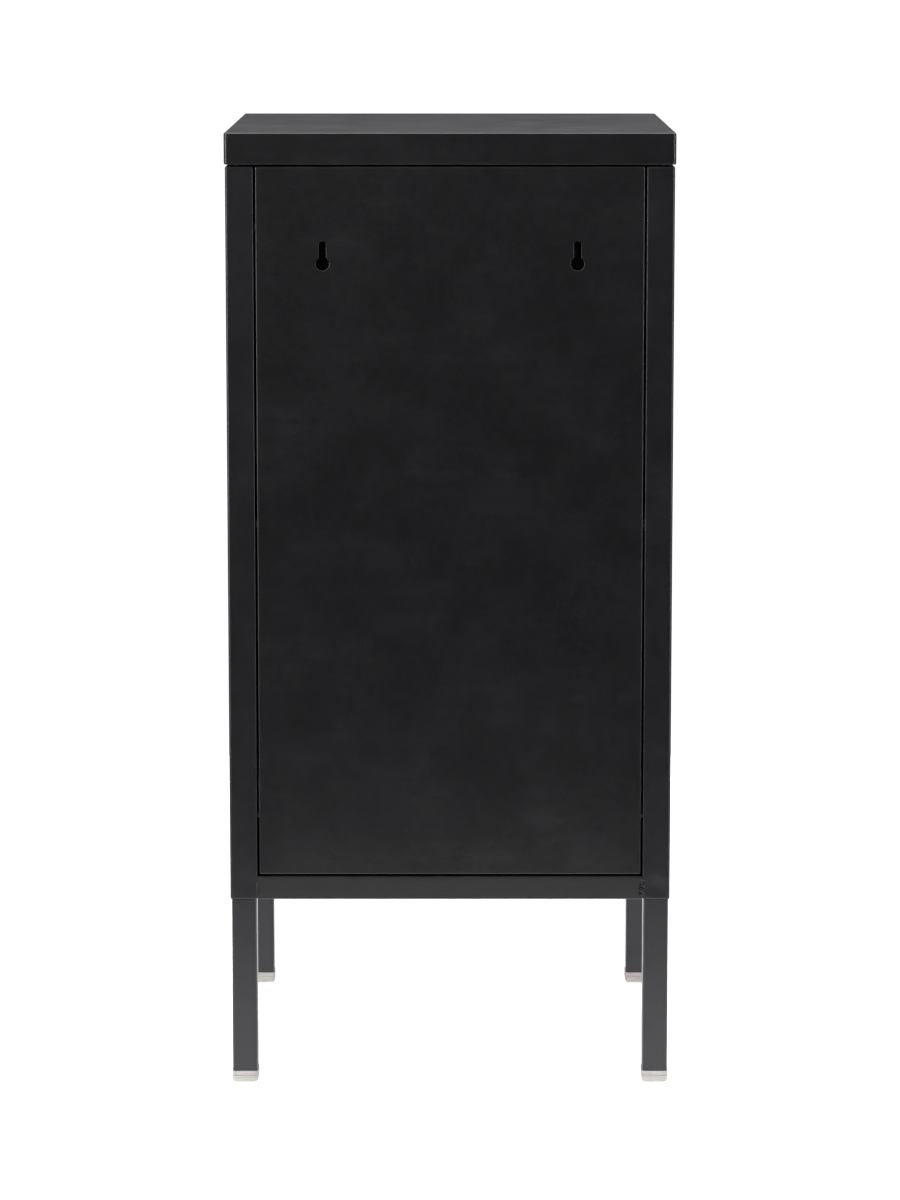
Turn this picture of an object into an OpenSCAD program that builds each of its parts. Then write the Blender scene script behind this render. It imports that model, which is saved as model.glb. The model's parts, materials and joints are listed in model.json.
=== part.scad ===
// Tall chest of drawers in folded and powder-coated sheet steel, on four square tube legs.
// Millimetres. X runs left to right seen from the front, the drawers open towards -Y and +Z is up.
// The origin is on the floor, under the middle of the whole chest, handles included.

/* [Body] */
// Width of the folded steel body
body_w = 440; // [400:1:480]
// Depth of the body, from the drawer fronts to the back
body_d = 398; // [380:1:440]
// Height of the body, without legs and lid
body_h = 733; // [700:1:780]
// Thickness of the sheet steel
sheet = 1.0; // [0.8:0.1:1.2]
// Outside radius of each fold
fold_r = 1.5; // [1.4:0.1:2.0]
// Width of each corner post, the folded edge of a side panel
post_w = 27.5; // [26:0.5:32]
// Depth of each corner post
post_d = 45; // [44:1:60]
// Height of the folded edge of the bottom panel
bottom_h = 23.5; // [18:0.5:30]
// Gap round the back panel
back_gap = 2; // [1:0.5:3]
// Depth of the folded edge of the back panel
back_d = 15; // [12:1:20]

/* [Lid] */
// Height of the lid's folded edge
lid_h = 31; // [24:1:40]
// How far the lid stands proud of the body on each side
lid_overhang = 1; // [0.5:0.5:3]
// Shadow gap between lid and body
lid_gap = 2; // [1:0.5:3]
// Radius of the lid's upright corners
lid_corner_r = 4; // [2:0.5:6]

/* [Legs] */
// Length of each leg tube
leg_h = 177; // [120:1:220]
// Width of the square leg tube
leg_w = 25; // [22:1:26]
// Wall thickness of the leg tube
leg_wall = 1.5; // [1.2:0.1:2.0]
// How far the legs stand in from the sides of the body
leg_inset = 1.4; // [1:0.1:1.5]
// Height of the plastic glide under each leg
glide_h = 12; // [10:1:16]
// Width of the plastic glide
glide_w = 26.5; // [26:0.5:28]

/* [Wall fixing] */
// Distance between the two keyholes
keyhole_spacing = 250; // [200:5:300]
// Height of the keyholes' round openings above the floor
keyhole_z = 826.8; // [780:0.1:840]
// Diameter of the round opening, for the screw head
keyhole_head_d = 13; // [11:0.5:15]
// Width of the slot, for the screw shank
keyhole_slot_w = 7; // [5:0.5:8]
// Distance from the round opening's middle to the top of the slot's run
keyhole_rise = 18.8; // [16:0.1:24]

/* [Drawers] */
// Number of drawers
drawer_count = 4; // [2:1:4]
// Gap between two drawer fronts
front_gap = 2.5; // [2:0.5:4]
// Depth of the folded drawer front
front_d = 16; // [14:1:20]
// How far below the top of its front a drawer's sides end
box_drop = 29.6; // [25:0.1:40]
// Depth of a drawer's box
box_d = 350; // [340:1:356]
// How far a drawer opens, where the drawers are drawn closed
travel = 260; // [200:5:270]

/* [Handles] */
// Distance between the handle's two screws
handle_span = 128; // [96:32:160]
// How far the handle reaches out from the drawer front
handle_reach = 28; // [24:1:34]
// Thickness of the round handle bar
handle_d = 10; // [9:0.5:12]

/* [Slides] */
// Height of a slide's outer runner
slide_h = 45; // [45:1:50]
// Thickness of a slide, runner and rail together
slide_t = 12.7; // [12.7:0.1:13.5]
// Thickness of the slide's steel
slide_wall = 1.2; // [1.0:0.1:1.3]
// Balls in each of a cage's two rows
ball_count = 5; // [3:1:5]

/* [Hidden] */

// Radii of a side panel: its outer upright folds, the folds at its foot and its posts' inner corner there
post_corner_r = 3;
foot_fold_r = 2.2;
post_foot_r = 3.5;

// Levels and faces of the whole chest
total_d = body_d + lid_overhang + handle_reach;
body_rear = total_d / 2 - lid_overhang;
body_front = body_rear - body_d;
body_mid = (body_rear + body_front) / 2;
body_z = glide_h + leg_h;
body_top = body_z + body_h;
floor_z = body_z + bottom_h;
post_x = body_w / 2 - post_w;

// Legs: the middles of the four tubes
leg_x = body_w / 2 - leg_inset - leg_w / 2;
leg_rear_y = body_rear - leg_inset - leg_w / 2;
leg_front_y = body_front + leg_inset + leg_w / 2;
leg_corner_r = 2.5;
insert_h = 20;
insert_play = 0.05;
leg_bolt_r = 4;
washer_t = 1.6;
gusset_t = 3;
gusset_clear = 3;

// Lid: the return folded in under its edge takes the rivet nuts
lid_w = body_w + 2 * lid_overhang;
lid_d = body_d + 2 * lid_overhang;
lid_z = body_top + lid_gap;
lid_return = 26;
lid_screw_x = post_x + post_w / 2;
lid_screw_ys = [body_front + 30, body_mid, body_rear - 30];
lid_screw_r = 2.5;
lid_nut_r = 3.5;

// Back panel
back_w = 2 * (post_x - back_gap);
back_z = floor_z + 2.5;
back_h = body_top - back_z;
back_screw_zs = [back_z + 60, back_z + back_h / 2, body_top - 60];
back_screw_y = body_rear - back_d * 0.6;
back_boss_r = 4.5;

// Drawers, counted from the top
front_foot = 2;
front_h = (body_top - fold_r - floor_z - front_foot - (drawer_count - 1) * front_gap) / drawer_count;
front_w = back_w;
front_rear = body_front + front_d;
front_edge_return = 12;
box_w = 2 * (post_x - slide_t);
box_lift = 10;
box_h = front_h - box_lift - box_drop;
hem_h = 8;
box_screw_x = 120;
box_screw_dzs = [box_lift + 12, box_lift + box_h - hem_h - 5];
front_return = box_drop + hem_h + 12;
rail_w = 12;
rail_d = 20;
top_rail_w = box_drop + fold_r - 1.1;

// Slides: u runs in from the post's face, v up from the middle of the slide
slide_y = front_rear + 0.5;
slide_rear = slide_y + box_d;
runner_reach = slide_t - 2;
runner_lip = 2.6;
ball_r = 3;
ball_u = 6.7;
ball_v = slide_h / 2 - slide_wall - ball_r - 0.3;
rail_v = ball_v - ball_r - 0.3;
rail_tip_u = 4.4;
cage_l = 85;
cage_t = 0.6;
cage_u = 3;
cage_tab = 5;
cage_window = 6.2;
ball_pitch = 17;
cage_y = slide_y + travel / 2 + (box_d - travel) / 2;
slide_head_h = 1.3;
slide_screw_ys = [slide_y + 11, slide_rear - 6.5];
rail_screw_ys = [slide_y + 30, slide_rear - 30];

// Screws
m4_r = 2;
m4_hole_r = 2.1;
m4_head_r = 3.5;
m4_head_h = 2.2;
thread_play = 0.05;

// Colours
black_paint = "#2b2b2d";
zinc = "#b9bcc0";
ball_steel = "#d8dade";
white_plastic = "#e6e4df";

// Straight stretches in each rounded corner
arc_steps = 5;

function drawer_name(i, part) = str("drawer_", i, "_", part);

CARCASS = [
    "lid", "side_panel_left", "side_panel_right", "back_panel", "bottom_panel", "cross_rails",
    "leg_front_left", "leg_front_right", "leg_rear_left", "leg_rear_right",
    "foot_front_left", "foot_front_right", "foot_rear_left", "foot_rear_right",
    "corner_gussets", "leg_inserts", "leg_bolts", "lid_nuts", "lid_screws", "frame_screws"
];
DRAWER_PARTS = [
    "box", "front", "handle", "screws", "rail_left", "rail_right",
    "ball_cage_left", "ball_cage_right", "runner_left", "runner_right"
];

// ---------- outlines ----------

// Points on an arc about c from angle a to angle b; a sharp corner for no radius
function arc(c, r, a, b) =
    r == 0 ? [c] : [for (i = [0 : arc_steps]) let (t = a + (b - a) * i / arc_steps) c + r * [cos(t), sin(t)]];

// A rectangle w wide about the Y axis and from y0 to y1, with a radius for each corner:
// low left, low right, high right and high left
function soft_rect(w, y0, y1, r) = concat(
    arc([-w / 2 + r[0], y0 + r[0]], r[0], 180, 270),
    arc([w / 2 - r[1], y0 + r[1]], r[1], 270, 360),
    arc([w / 2 - r[2], y1 - r[2]], r[2], 0, 90),
    arc([-w / 2 + r[3], y1 - r[3]], r[3], 90, 180)
);

function same(r) = [r, r, r, r];
function less(radii, t) = [for (r = radii) r - t];

function unit(v) = v / norm(v);
function left_of(v) = [-v[1], v[0]];
function turned(v, a) = [v[0] * cos(a) - v[1] * sin(a), v[0] * sin(a) + v[1] * cos(a)];

// A fold at b of a strip that runs a, b, c: the points on the face that lies s to the left of the path
function fold_points(a, b, c, s, t, r) =
    let (u = unit(b - a), v = unit(c - b))
    let (k = sign(u[0] * v[1] - u[1] * v[0]), angle = acos(u * v))
    let (path_r = k > 0 ? r : r - t)
    let (centre = b - u * path_r * tan(angle / 2) + k * path_r * left_of(u))
    [for (i = [0 : arc_steps]) centre - k * (path_r - k * s) * turned(left_of(u), k * angle * i / arc_steps)];

function strip_face(path, s, t, r) =
    let (last = len(path) - 1)
    [for (i = [0 : last]) each
        i == 0 ? [path[0] + s * left_of(unit(path[1] - path[0]))]
        : i == last ? [path[last] + s * left_of(unit(path[last] - path[last - 1]))]
        : fold_points(path[i - 1], path[i], path[i + 1], s, t, r)];

function backwards(list) = [for (i = [len(list) - 1 : -1 : 0]) list[i]];

// Cross-section of a folded strip: the path is one face of the sheet, which lies to its left
module folded_strip(path, t, r) {
    polygon(concat(strip_face(path, 0, t, r), backwards(strip_face(path, t, t, r))));
}

// ---------- shared solids ----------

// A block on the XY plane, rounded with four radii in its plan, its front view and its side view
module shaped_block(size, plan, front, side) {
    intersection() {
        linear_extrude(size[2])
            polygon(soft_rect(size[0], -size[1] / 2, size[1] / 2, plan));
        rotate([90, 0, 0])
            translate([0, 0, -size[1] / 2])
                linear_extrude(size[1])
                    polygon(soft_rect(size[0], 0, size[2], front));
        rotate([90, 0, 90])
            translate([0, 0, -size[0] / 2])
                linear_extrude(size[0])
                    polygon(soft_rect(size[1], 0, size[2], side));
    }
}

// The same with one radius for the upright corners, one round the top and one round the foot
module soft_block(size, corner, top, foot) {
    profile = [foot, foot, top, top];
    shaped_block(size, same(corner), profile, profile);
}

// A folded tray, closed at the top and open at the foot, where a return of rim[0] and rim[1] may be folded in
module tray(size, rim, corner) {
    inner_corner = max(corner - sheet, 0.3);
    inner_fold = fold_r - sheet;
    returns = rim[0] > 0;
    low = returns ? sheet : -1;
    difference() {
        soft_block(size, corner, fold_r, returns ? fold_r : 0);
        translate([0, 0, low])
            soft_block(
                [size[0] - 2 * sheet, size[1] - 2 * sheet, size[2] - sheet - low],
                inner_corner, inner_fold, returns ? inner_fold : 0
            );
        if (returns)
            translate([0, 0, sheet / 2])
                cube([size[0] - 2 * rim[0], size[1] - 2 * rim[1], 2 * sheet], center = true);
    }
}

// Round hole or round bar along Y, from y0 to y1
module round_y(x, z, r, y0, y1) {
    translate([x, y0, z])
        rotate([-90, 0, 0])
            cylinder(r = r, h = y1 - y0, $fn = 48);
}

// Round hole or round bar along X, from x0 to x1
module round_x(y, z, r, x0, x1) {
    translate([x0, y, z])
        rotate([0, 90, 0])
            cylinder(r = r, h = x1 - x0, $fn = 48);
}

// Puts its children at the middle of each leg
module at_legs() {
    for (x = [-leg_x, leg_x])
        for (y = [leg_front_y, leg_rear_y])
            translate([x, y, 0])
                children();
}

// Puts its children at each lid screw
module at_lid_screws() {
    for (x = [-lid_screw_x, lid_screw_x])
        for (y = lid_screw_ys)
            translate([x, y, 0])
                children();
}

// The same part on the right (side 1) or, mirrored, on the left (side -1)
module on_side(side) {
    mirror([side < 0 ? 1 : 0, 0, 0])
        children();
}

// ---------- carcass ----------

module lid() {
    color(black_paint)
        translate([0, body_mid, lid_z])
            difference() {
                tray([lid_w, lid_d, lid_h], [lid_return, lid_return], lid_corner_r);
                translate([0, -body_mid, 0])
                    at_lid_screws()
                        translate([0, 0, -1])
                            cylinder(r = lid_nut_r + thread_play, h = 4, $fn = 48);
            }
}

// The right side: outer wall, top and bottom flange, and the two corner posts folded in one piece
module side_shell() {
    wall_x = post_x + post_w / 2;
    plan = [fold_r, post_corner_r, post_corner_r, fold_r];
    front = [post_foot_r, foot_fold_r, fold_r, fold_r];
    side = [foot_fold_r, foot_fold_r, fold_r, fold_r];
    difference() {
        translate([wall_x, body_mid, body_z])
            shaped_block([post_w, body_d, body_h], plan, front, side);
        translate([wall_x, body_mid, body_z + sheet])
            shaped_block(
                [post_w - 2 * sheet, body_d - 2 * sheet, body_h - 2 * sheet],
                less(plan, sheet), less(front, sheet), less(side, sheet)
            );
        translate([post_x - 1, body_front + post_d, body_z + sheet])
            cube([sheet + 1.5, body_d - 2 * post_d, body_h - 2 * sheet]);
    }
}

module side_panel(side) {
    color(black_paint)
        on_side(side)
            difference() {
                side_shell();
                at_legs()
                    translate([0, 0, body_z - 1])
                        cylinder(r = leg_bolt_r + 0.5, h = sheet + 2, $fn = 48);
                at_lid_screws()
                    translate([0, 0, body_top - sheet - 1])
                        cylinder(r = lid_screw_r + 0.25, h = sheet + 2, $fn = 48);
                for (i = [1 : drawer_count])
                    for (y = slide_screw_ys)
                        round_x(y, slide_z(i), m4_hole_r, post_x - 1, post_x + sheet + 1);
                for (z = back_screw_zs)
                    round_x(back_screw_y, z, m4_hole_r, post_x - 1, post_x + sheet + 1);
            }
}

// A keyhole cut right through the back panel: a round opening with a slot that runs up from it
module keyhole() {
    y0 = body_rear - sheet - 1;
    y1 = body_rear + 1;
    round_y(0, keyhole_z, keyhole_head_d / 2, y0, y1);
    round_y(0, keyhole_z + keyhole_rise, keyhole_slot_w / 2, y0, y1);
    translate([-keyhole_slot_w / 2, y0, keyhole_z])
        cube([keyhole_slot_w, y1 - y0, keyhole_rise]);
}

// The folded edges have round bosses that stand across the gap to the posts, where the screws go through
module back_panel() {
    color(black_paint)
        difference() {
            union() {
                translate([0, body_rear - back_d, back_z + back_h / 2])
                    rotate([-90, 0, 0])
                        tray([back_w, back_h, back_d], [0, 0], fold_r);
                for (side = [-1, 1])
                    on_side(side)
                        for (z = back_screw_zs)
                            round_x(back_screw_y, z, back_boss_r, back_w / 2 - sheet / 2, post_x);
            }
            for (x = [-keyhole_spacing / 2, keyhole_spacing / 2])
                translate([x, 0, 0])
                    keyhole();
            for (z = back_screw_zs)
                round_x(back_screw_y, z, m4_hole_r, -body_w / 2, body_w / 2);
        }
}

module bottom_panel() {
    color(black_paint)
        translate([0, body_mid, body_z])
            tray([2 * post_x, body_d, bottom_h], [15, 15], fold_r);
}

// A channel between the posts, open to the rear, with its middle at height z
module cross_rail(z, w) {
    y0 = front_rear + 1;
    rotate([90, 0, 90])
        translate([0, 0, -post_x])
            linear_extrude(2 * post_x)
                folded_strip(
                    [[y0 + rail_d, z + w / 2], [y0, z + w / 2], [y0, z - w / 2], [y0 + rail_d, z - w / 2]],
                    sheet, fold_r
                );
}

module cross_rails() {
    color(black_paint) {
        cross_rail(body_top - top_rail_w / 2, top_rail_w);
        for (i = [1 : drawer_count - 1])
            cross_rail(front_z(i) - front_gap / 2, rail_w);
    }
}

// ---------- legs and feet ----------

module leg(side, y) {
    bore_w = leg_w - 2 * leg_wall;
    bore_r = leg_corner_r - leg_wall;
    color(black_paint)
        on_side(side)
            translate([leg_x, y, glide_h])
                linear_extrude(leg_h)
                    difference() {
                        polygon(soft_rect(leg_w, -leg_w / 2, leg_w / 2, same(leg_corner_r)));
                        polygon(soft_rect(bore_w, -bore_w / 2, bore_w / 2, same(bore_r)));
                    }
}

// A moulded glide: pad, groove, collar under the tube's end, and a hollow plug inside the tube
module foot(side, y) {
    pad_h = glide_h * 0.6;
    pad_foot_r = 4;
    groove_h = 0.6;
    groove_in = 0.5;
    plug_w = leg_w - 2 * leg_wall - 2 * insert_play;
    plug_h = 18;
    plug_wall = 1.8;
    color(white_plastic)
        on_side(side)
            translate([leg_x, y, 0]) {
                soft_block([glide_w, glide_w, pad_h], 3.5, 0.4, pad_foot_r);
                soft_block([glide_w - 2 * groove_in, glide_w - 2 * groove_in, glide_h - 1], 3, 0, pad_foot_r);
                translate([0, 0, pad_h + groove_h])
                    soft_block([glide_w, glide_w, glide_h - pad_h - groove_h], 3.5, 0.4, 0.4);
                difference() {
                    translate([0, 0, glide_h - 2])
                        soft_block([plug_w, plug_w, plug_h + 2], 1.5, 0.8, 0);
                    translate([0, 0, glide_h])
                        soft_block([plug_w - 2 * plug_wall, plug_w - 2 * plug_wall, plug_h + 1], 1, 0, 0);
                }
            }
}

// Stiffening plates in the feet of the posts, clear of the folds, each with a hole for the leg's bolt
module corner_gussets() {
    size = [post_w - 2 * (sheet + gusset_clear), post_d - 2 * (sheet + gusset_clear)];
    inset = sheet + gusset_clear + size[1] / 2;
    color(zinc)
        for (side = [-1, 1])
            for (end = [[leg_front_y, body_front + inset], [leg_rear_y, body_rear - inset]])
                difference() {
                    translate([side * (post_x + post_w / 2), end[1], body_z + sheet])
                        linear_extrude(gusset_t)
                            square(size, center = true);
                    translate([side * leg_x, end[0], body_z])
                        cylinder(r = leg_bolt_r + 0.5, h = 10, $fn = 48);
                }
}

// Threaded blocks pressed into the tops of the legs
module leg_inserts() {
    w = leg_w - 2 * leg_wall - 2 * insert_play;
    color(zinc)
        at_legs()
            translate([0, 0, body_z - insert_h])
                difference() {
                    linear_extrude(insert_h)
                        polygon(soft_rect(w, -w / 2, w / 2, same(1.3)));
                    translate([0, 0, -1])
                        cylinder(r = leg_bolt_r + thread_play, h = insert_h + 2, $fn = 48);
                }
}

// Hexagon bolts with washers, down through the gusset and the flange into the leg
module leg_bolts() {
    seat_z = body_z + sheet + gusset_t;
    color(zinc)
        at_legs() {
            translate([0, 0, seat_z])
                cylinder(r = 8, h = washer_t, $fn = 48);
            translate([0, 0, seat_z + washer_t])
                cylinder(r = 7.5, h = 5.3, $fn = 6);
            translate([0, 0, body_z - insert_h + 1])
                cylinder(r = leg_bolt_r, h = seat_z + washer_t - body_z + insert_h - 1, $fn = 48);
        }
}

// ---------- lid fixing ----------

// Rivet nuts in the lid's return: their flanges hold the lid off the body
module lid_nuts() {
    color(zinc)
        at_lid_screws()
            translate([0, 0, body_top])
                difference() {
                    union() {
                        cylinder(r = 6, h = lid_gap, $fn = 48);
                        cylinder(r = lid_nut_r, h = lid_gap + 10, $fn = 48);
                    }
                    translate([0, 0, -1])
                        cylinder(r = lid_screw_r + thread_play, h = 20, $fn = 48);
                }
}

module lid_screws() {
    head_z = body_top - sheet;
    color(zinc)
        at_lid_screws() {
            translate([0, 0, head_z - 3])
                cylinder(r = 4.75, h = 3, $fn = 48);
            translate([0, 0, head_z - 1])
                cylinder(r = lid_screw_r, h = 1 + sheet + lid_gap + 8, $fn = 48);
        }
}

// Screws that hold the outer runners and the back panel to the posts
module frame_screws() {
    head_x = post_x - slide_wall - slide_head_h;
    pan_x = back_w / 2 - sheet;
    color(zinc)
        for (side = [-1, 1])
            on_side(side) {
                for (i = [1 : drawer_count])
                    for (y = slide_screw_ys) {
                        round_x(y, slide_z(i), m4_head_r, head_x, head_x + slide_head_h);
                        round_x(y, slide_z(i), m4_r, head_x + 0.5, post_x + 8);
                    }
                for (z = back_screw_zs) {
                    round_x(back_screw_y, z, m4_head_r, pan_x - m4_head_h, pan_x);
                    round_x(back_screw_y, z, m4_r, pan_x - 1, post_x + 8);
                }
            }
}

// ---------- drawers ----------

// Height of a drawer front's lower edge, of its box's floor and of the middle of its slides
function front_z(i) = floor_z + front_foot + (drawer_count - i) * (front_h + front_gap);
function box_z(i) = front_z(i) + box_lift;
function slide_z(i) = box_z(i) + box_h / 2;
function handle_z(i) = front_z(i) + front_h / 2;

// The edge of a drawer's box, folded down inside all round its rim
module box_hem() {
    inner = [box_w - 2 * sheet, box_d - 2 * sheet];
    difference() {
        linear_extrude(hem_h)
            square(inner, center = true);
        translate([0, 0, -1])
            linear_extrude(hem_h + 2)
                square([inner[0] - 2 * sheet, inner[1] - 2 * sheet], center = true);
    }
}

module drawer_box(i) {
    color(black_paint)
        difference() {
            translate([0, front_rear + box_d / 2, box_z(i) + box_h])
                rotate([180, 0, 0])
                    union() {
                        tray([box_w, box_d, box_h], [0, 0], fold_r);
                        box_hem();
                    }
            for (x = [-box_screw_x, box_screw_x])
                for (dz = box_screw_dzs)
                    round_y(x, front_z(i) + dz, m4_hole_r, front_rear - 1, front_rear + sheet + 1);
            for (y = rail_screw_ys)
                round_x(y, slide_z(i), m4_hole_r, -body_w / 2, body_w / 2);
        }
}

module drawer_front(i) {
    color(black_paint)
        difference() {
            translate([0, front_rear, front_z(i) + front_h / 2])
                rotate([90, 0, 0])
                    tray([front_w, front_h, front_d], [front_edge_return, front_return], fold_r);
            for (x = [-handle_span / 2, handle_span / 2])
                round_y(x, handle_z(i), m4_hole_r, body_front - 1, body_front + sheet + 1);
            for (x = [-box_screw_x, box_screw_x])
                for (dz = box_screw_dzs)
                    round_y(x, front_z(i) + dz, m4_hole_r, front_rear - sheet - 1, front_rear + 1);
        }
}

// A round bar bent towards the drawer front at both ends, with a collar and a threaded hole in each end
module drawer_handle(i) {
    r = handle_d / 2;
    bend = 14;
    bar_y = body_front - handle_reach + r;
    half = handle_span / 2;
    color(black_paint)
        translate([0, 0, handle_z(i)])
            difference() {
                union() {
                    round_x(bar_y, 0, r, bend - half, half - bend);
                    for (side = [-1, 1])
                        on_side(side) {
                            translate([half - bend, bar_y + bend, 0])
                                rotate([0, 0, -90])
                                    rotate_extrude(angle = 90, $fn = 96)
                                        translate([bend, 0])
                                            circle(r = r, $fn = 48);
                            round_y(half, 0, r, bar_y + bend, body_front);
                            round_y(half, 0, r + 1.5, body_front - 1.5, body_front);
                        }
                }
                for (x = [-half, half])
                    round_y(x, 0, m4_r + thread_play, body_front - 11, body_front + 1);
            }
}

// Two screws into the handle, four that join box and front, and four that hold the slides' inner rails
module drawer_screws(i) {
    wall_x = box_w / 2 - sheet;
    color(zinc) {
        for (x = [-handle_span / 2, handle_span / 2]) {
            round_y(x, handle_z(i), m4_head_r, body_front + sheet, body_front + sheet + m4_head_h);
            round_y(x, handle_z(i), m4_r, body_front - 10, body_front + sheet + 1);
        }
        for (x = [-box_screw_x, box_screw_x])
            for (dz = box_screw_dzs) {
                round_y(x, front_z(i) + dz, m4_head_r, front_rear + sheet, front_rear + sheet + m4_head_h);
                round_y(x, front_z(i) + dz, m4_r, front_rear - 8, front_rear + sheet + 1);
            }
        for (side = [-1, 1])
            on_side(side)
                for (y = rail_screw_ys) {
                    round_x(y, slide_z(i), m4_head_r, wall_x - m4_head_h, wall_x);
                    round_x(y, slide_z(i), m4_r, wall_x - 1, wall_x + sheet + slide_wall + 2.5);
                }
    }
}

// ---------- slides ----------

// Puts a cross-section drawn in u and v on the side's post, and runs it along Y
module slide_part(i, side, l, y) {
    on_side(side)
        translate([post_x, y + l, slide_z(i)])
            rotate([90, 0, 0])
                linear_extrude(l)
                    mirror([1, 0])
                        children();
}

// The outer runner, a channel on the post whose lips keep the balls in
module runner(i, side) {
    v = slide_h / 2;
    lip_v = v - runner_lip;
    color(zinc)
        difference() {
            slide_part(i, side, box_d, slide_y)
                folded_strip(
                    [
                        [runner_reach, lip_v], [runner_reach, v], [0, v],
                        [0, -v], [runner_reach, -v], [runner_reach, -lip_v]
                    ],
                    slide_wall, slide_wall + 0.4
                );
            for (y = slide_screw_ys)
                round_x(y, slide_z(i), m4_hole_r, -body_w / 2, body_w / 2);
        }
}

// The inner rail, a channel on the side of the drawer's box
module inner_rail(i, side) {
    color(zinc)
        difference() {
            slide_part(i, side, box_d, slide_y)
                folded_strip(
                    [[rail_tip_u, -rail_v], [slide_t, -rail_v], [slide_t, rail_v], [rail_tip_u, rail_v]],
                    slide_wall, slide_wall + 0.4
                );
            for (y = rail_screw_ys)
                round_x(y, slide_z(i), m4_hole_r, -body_w / 2, body_w / 2);
        }
}

// The cage with its two rows of balls, which runs half as far as the drawer
module ball_cage(i, side) {
    v_edge = slide_h / 2 - slide_wall - 0.9;
    ball_ys = [for (n = [0 : ball_count - 1]) cage_y + (n - (ball_count - 1) / 2) * ball_pitch];
    color(zinc)
        slide_part(i, side, cage_l, cage_y - cage_l / 2)
            translate([cage_u, -v_edge])
                square([cage_t, 2 * v_edge]);
    color(zinc)
        difference() {
            slide_part(i, side, cage_l, cage_y - cage_l / 2)
                for (v = [-ball_v, ball_v])
                    translate([cage_u + cage_t / 2, v - cage_t / 2])
                        square([cage_tab, cage_t]);
            for (y = ball_ys)
                on_side(side)
                    translate([post_x - cage_u - cage_t - cage_tab, y - cage_window / 2, slide_z(i) - slide_h / 2])
                        cube([cage_tab, cage_window, slide_h]);
        }
    color(ball_steel)
        on_side(side)
            for (y = ball_ys)
                for (v = [-ball_v, ball_v])
                    translate([post_x - ball_u, y, slide_z(i) + v])
                        sphere(r = ball_r, $fn = 32);
}

lid();
side_panel(-1);  // side_panel_left
side_panel(1);  // side_panel_right
back_panel();
bottom_panel();
cross_rails();
leg(-1, leg_front_y);  // leg_front_left
leg(1, leg_front_y);  // leg_front_right
leg(-1, leg_rear_y);  // leg_rear_left
leg(1, leg_rear_y);  // leg_rear_right
foot(-1, leg_front_y);  // foot_front_left
foot(1, leg_front_y);  // foot_front_right
foot(-1, leg_rear_y);  // foot_rear_left
foot(1, leg_rear_y);  // foot_rear_right
corner_gussets();
leg_inserts();
leg_bolts();
lid_nuts();
lid_screws();
frame_screws();
for (i = [1 : drawer_count]) {
    drawer_box(i);
    drawer_front(i);
    drawer_handle(i);
    drawer_screws(i);
    inner_rail(i, -1);
    inner_rail(i, 1);
    ball_cage(i, -1);
    ball_cage(i, 1);
    runner(i, -1);
    runner(i, 1);
}
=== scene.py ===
"""Tall chest of drawers in folded, black powder-coated sheet steel, seen from behind.

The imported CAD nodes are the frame. The lid, the bottom and back panels, the legs, glides, drawers and
handles get finer meshes with soft folds and edges; slides, screws and the side panels with their posts
stay the CAD's own. Metres, +Z up, the drawers open towards -Y.
"""

from math import asin, cos, pi, radians, sin, tan

import bmesh
import bpy
from mathutils import Matrix, Vector
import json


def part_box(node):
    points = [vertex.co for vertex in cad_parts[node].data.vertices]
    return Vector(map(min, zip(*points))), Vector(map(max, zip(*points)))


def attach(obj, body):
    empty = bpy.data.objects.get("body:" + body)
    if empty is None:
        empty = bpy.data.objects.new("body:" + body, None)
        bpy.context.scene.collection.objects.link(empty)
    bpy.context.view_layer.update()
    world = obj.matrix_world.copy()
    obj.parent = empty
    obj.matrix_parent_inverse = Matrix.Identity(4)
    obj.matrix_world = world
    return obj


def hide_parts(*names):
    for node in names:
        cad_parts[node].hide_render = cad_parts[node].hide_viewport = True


MM = 0.001

# sheet thickness, and the radii of folds and edges
SHEET = 1.0 * MM
FOLD = 1.5 * MM
INNER_FOLD = FOLD - SHEET
CUT_EDGE = 0.15 * MM
SHARP_FOLD = 0.95 * MM
SMOOTH_BELOW_DEG = 32

KEYHOLE_HEAD_RADIUS = 6.5 * MM
KEYHOLE_SLOT_RADIUS = 3.5 * MM
KEYHOLE_RISE = 18.8 * MM

SIDE_GAP = 2 * MM
BOSS_RADIUS = 4.5 * MM
BOSS_FROM_ENDS = 60 * MM
BOSS_FROM_REAR = 9 * MM

TUBE_WALL = 1.5 * MM
HANDLE_BEND = 14 * MM

FLOOR_RADIUS = 1.06
FLOOR_MIDDLE = (0, -0.33, -0.3 * MM)
CAMERA_PLACE = (0.0, 3.9935, 1.1542)
CAMERA_DIP_DEG = 7.609

DRAWERS = (1, 2, 3, 4)
CORNERS = ("front_left", "front_right", "rear_left", "rear_right")

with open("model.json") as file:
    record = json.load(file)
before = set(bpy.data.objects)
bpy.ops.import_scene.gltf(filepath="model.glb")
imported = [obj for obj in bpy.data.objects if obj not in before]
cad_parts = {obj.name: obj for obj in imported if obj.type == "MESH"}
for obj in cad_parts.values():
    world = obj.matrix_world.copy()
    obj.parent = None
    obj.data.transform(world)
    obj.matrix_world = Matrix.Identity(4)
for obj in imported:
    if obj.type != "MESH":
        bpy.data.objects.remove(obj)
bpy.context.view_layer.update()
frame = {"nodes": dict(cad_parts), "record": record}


# ---------- profiles and lofts ----------

def arc_points(centre, start, end, steps):
    """Points from start to end on the shorter arc about centre, ends included."""
    a, b = start - centre, end - centre
    sweep = a.angle_signed(b, 0.0)
    return [centre + Matrix.Rotation(-sweep * i / steps, 2) @ a for i in range(steps + 1)]


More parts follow.
